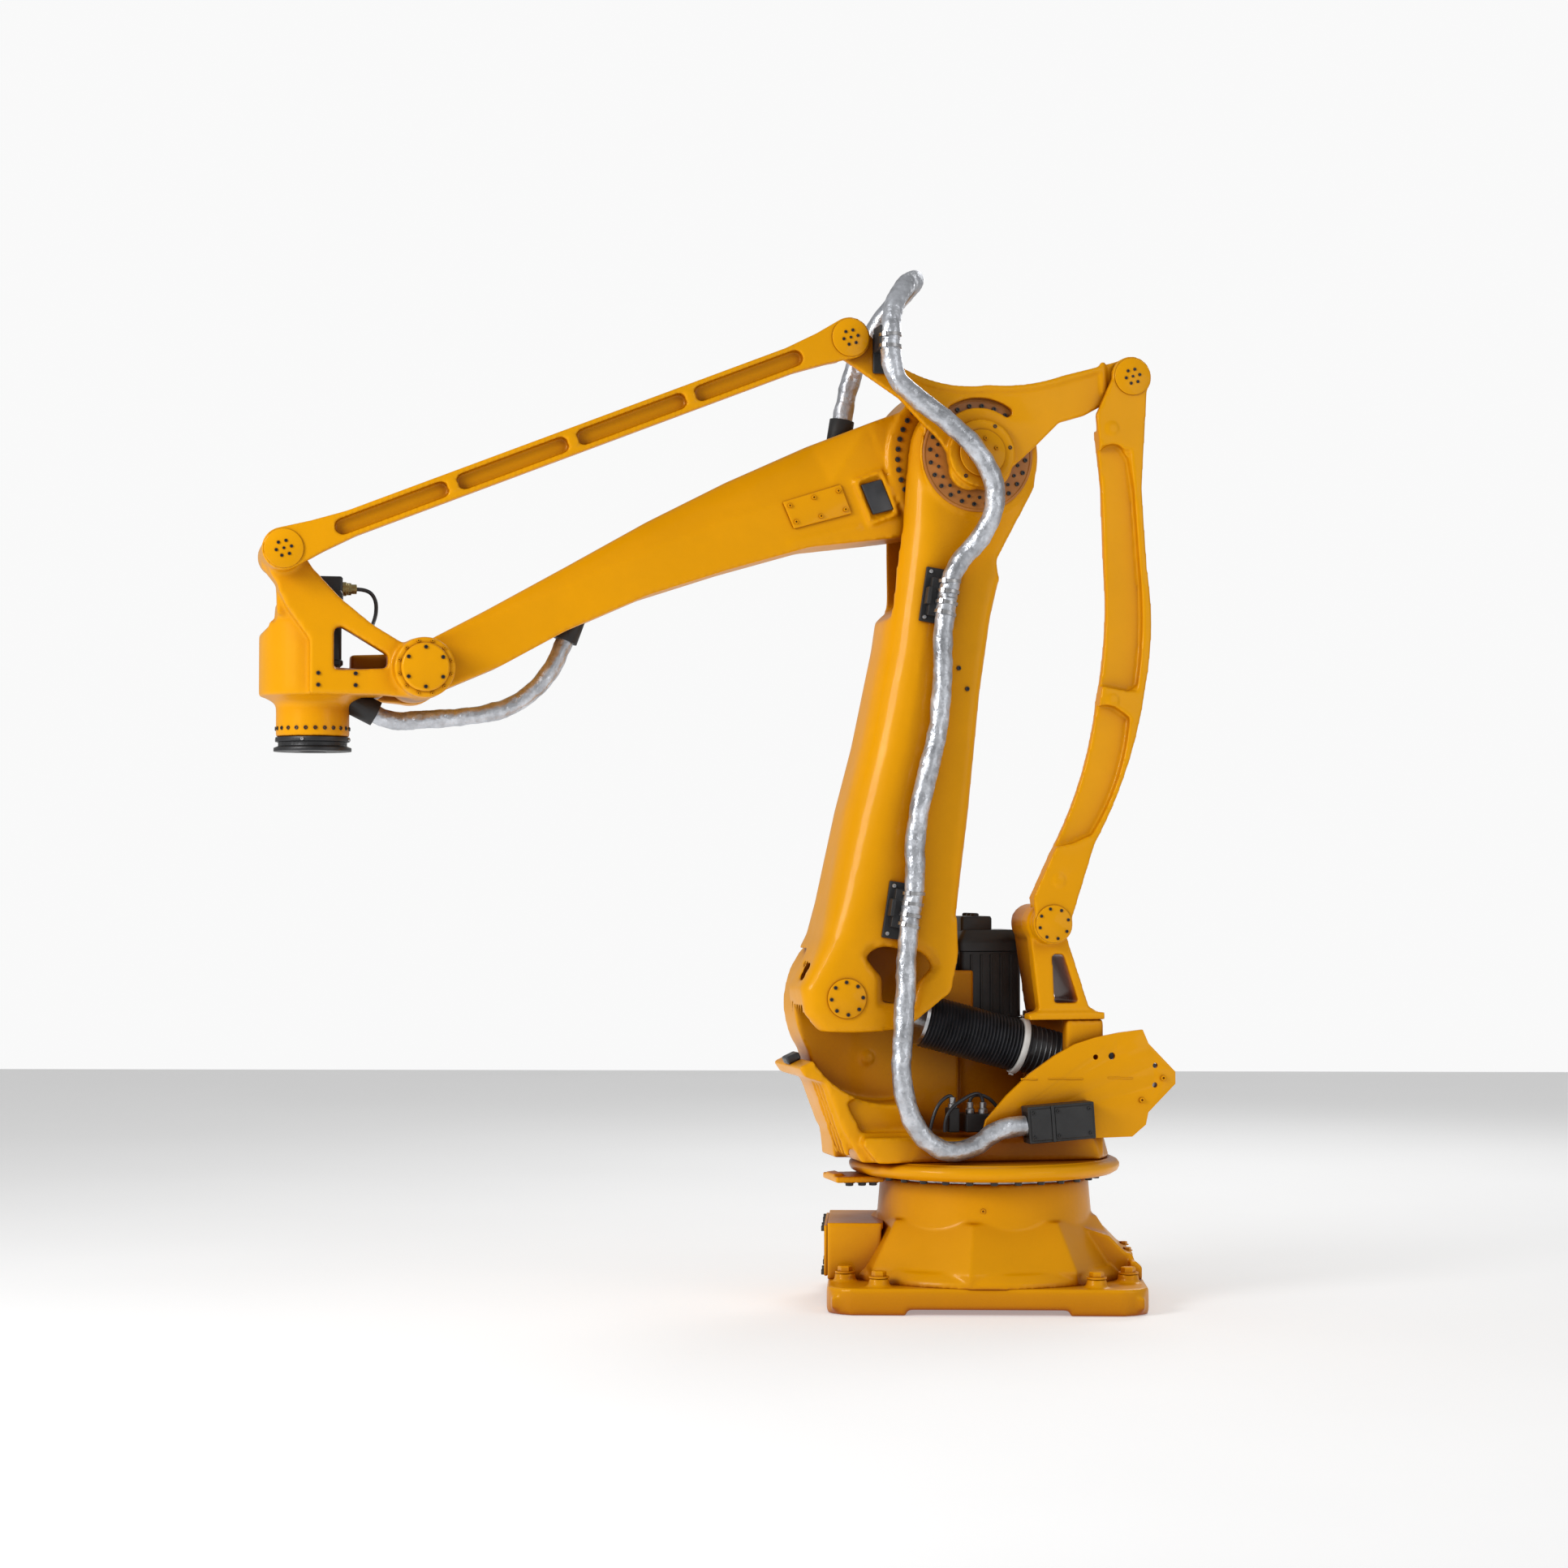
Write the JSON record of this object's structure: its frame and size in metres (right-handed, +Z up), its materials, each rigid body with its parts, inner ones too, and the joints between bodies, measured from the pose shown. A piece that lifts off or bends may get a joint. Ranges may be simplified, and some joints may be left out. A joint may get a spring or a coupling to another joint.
{
  "type": "palletising robot arm",
  "caption": "Four-axis palletising robot with a swivelling column, parallel links, spring balancer, foil-sleeved hose and a round tool flange.",
  "frame": {"origin": "on the floor at the swivel axis, under the middle of the base plate", "axes": "+Z up, +X towards the cable box side of the base, +Y to its left; the arm stands turned 14.4 degrees from +X towards +Y"},
  "size_m": [2.0787, 1.0262, 2.3841],
  "materials": {
    "yellow_paint": "semi-gloss",
    "black_paint": "satin",
    "rubber": "matte",
    "black_plastic": "matte",
    "steel": "machined",
    "hose_foil": "metallised",
    "white_band": "satin"
  },
  "bodies": {
    "base": {"base_plate": "yellow_paint", "pedestal": "yellow_paint", "slewing_bearing": "steel", "cable_box": "yellow_paint", "cable_box_cover": "yellow_paint"},
    "column": {"turntable_ring": "yellow_paint", "swivel_stop": "yellow_paint", "column_casting": "yellow_paint", "shoulder_axle": "steel", "stop_bumper": "rubber", "near_side_plate": "yellow_paint", "far_side_plate": "yellow_paint", "balancer_rear_pin": "steel", "link_tower": "yellow_paint", "swivel_motor": "black_paint", "hose_socket": "black_paint", "rear_link_foot_pin": "yellow_paint", "hose_foot_loop": "hose_foil"},
    "lower_arm": {"lower_arm_casting": "yellow_paint", "tilt_gearbox": "black_paint", "tilt_motor": "black_paint", "elbow_gearbox": "black_paint", "elbow_motor": "black_paint", "elbow_axle": "steel", "crank_axle": "yellow_paint", "balancer_front_pin": "yellow_paint", "lower_hose_clamp": "black_plastic", "upper_hose_clamp": "black_plastic", "hose_arm_run": "hose_foil", "hose_elbow_loop": "hose_foil"},
    "balancer_rod": {"balancer_rod": "steel"},
    "balancer_cylinder": {"balancer_cylinder": "black_paint", "bellows_clamp": "white_band", "balancer_bellows": "rubber"},
    "rear_link": {"rear_link": "yellow_paint"},
    "front_link": {"front_link": "yellow_paint"},
    "bell_crank": {"bell_crank": "yellow_paint", "crank_hose_clamp": "black_plastic", "rear_link_top_pin": "yellow_paint", "front_link_rear_pin": "yellow_paint", "hose_top_loop": "hose_foil"},
    "forearm": {"forearm_casting": "yellow_paint", "forearm_cover": "yellow_paint", "elbow_stop": "rubber", "upper_hose_gland": "black_plastic", "lower_hose_gland": "black_plastic", "hose_wrist_loop": "hose_foil"},
    "wrist": {"wrist_housing": "yellow_paint", "wrist_axle": "steel", "wrist_axle_cap": "yellow_paint", "wrist_motor": "black_paint", "wrist_motor_plug": "black_paint", "wrist_motor_cable": "black_plastic", "front_link_front_pin": "yellow_paint", "wrist_hose_gland": "black_plastic"},
    "tool_flange": {"tool_flange": "black_paint"}
  },
  "joints": [
    {"name": "swivel", "type": "hinge", "parent": "base", "child": "column", "pos_m": [0, 0, 0.3], "axis": [0, 0, 1], "range_deg": [-170, 170]},
    {"name": "arm_tilt", "type": "hinge", "parent": "column", "child": "lower_arm", "pos_m": [0.24699, 0.06342, 0.69], "axis": [-0.2487, 0.9686, 0], "range_deg": [-10, 70], "deforming": ["balancer_bellows", "hose_foot_loop"]},
    {"name": "rear_link_turn", "type": "hinge", "parent": "column", "child": "rear_link", "pos_m": [-0.10073, -0.02586, 0.877], "axis": [-0.2487, 0.9686, 0], "range_deg": [-10, 70]},
    {"name": "crank_turn", "type": "hinge", "parent": "lower_arm", "child": "bell_crank", "pos_m": [0.05931, 0.01523, 1.95626], "axis": [-0.2487, 0.9686, 0], "range_deg": [-70, 10], "deforming": ["hose_elbow_loop"]},
    {"name": "forearm_tilt", "type": "hinge", "parent": "bell_crank", "child": "forearm", "pos_m": [0.05931, 0.01523, 1.95626], "axis": [-0.2487, 0.9686, 0], "range_deg": [-40, 20], "deforming": ["hose_top_loop"]},
    {"name": "front_link_turn", "type": "hinge", "parent": "bell_crank", "child": "front_link", "pos_m": [0.36248, 0.09307, 2.20926], "axis": [-0.2487, 0.9686, 0], "range_deg": [-40, 20]},
    {"name": "wrist_level", "type": "hinge", "parent": "forearm", "child": "wrist", "pos_m": [1.29137, 0.33157, 1.44749], "axis": [-0.2487, 0.9686, 0], "range_deg": [-20, 40], "deforming": ["hose_wrist_loop"]},
    {"name": "tool_turn", "type": "hinge", "parent": "wrist", "child": "tool_flange", "pos_m": [1.51705, 0.38951, 1.26549], "axis": [0, 0, -1], "range_deg": [-300, 300]},
    {"name": "balancer_swing", "type": "hinge", "parent": "column", "child": "balancer_cylinder", "pos_m": [-0.36995, -0.02685, 0.51], "axis": [-0.2487, 0.9686, 0], "range_deg": [-1.79, 9.52]},
    {"name": "balancer_pin_turn", "type": "hinge", "parent": "lower_arm", "child": "balancer_rod", "pos_m": [0.34259, 0.1561, 0.7077], "axis": [-0.2487, 0.9686, 0], "range_deg": [-61.48, 9.21]}
  ],
  "couplings": [
    {"joint": "rear_link_turn", "follows": "arm_tilt", "ratio": 1},
    {"joint": "crank_turn", "follows": "arm_tilt", "ratio": -1},
    {"joint": "front_link_turn", "follows": "forearm_tilt", "ratio": 1},
    {"joint": "wrist_level", "follows": "forearm_tilt", "ratio": -1},
    {"joint": "balancer_swing", "follows": "arm_tilt", "ratio": 0.1288},
    {"joint": "balancer_pin_turn", "follows": "arm_tilt", "ratio": -0.8712}
  ]
}
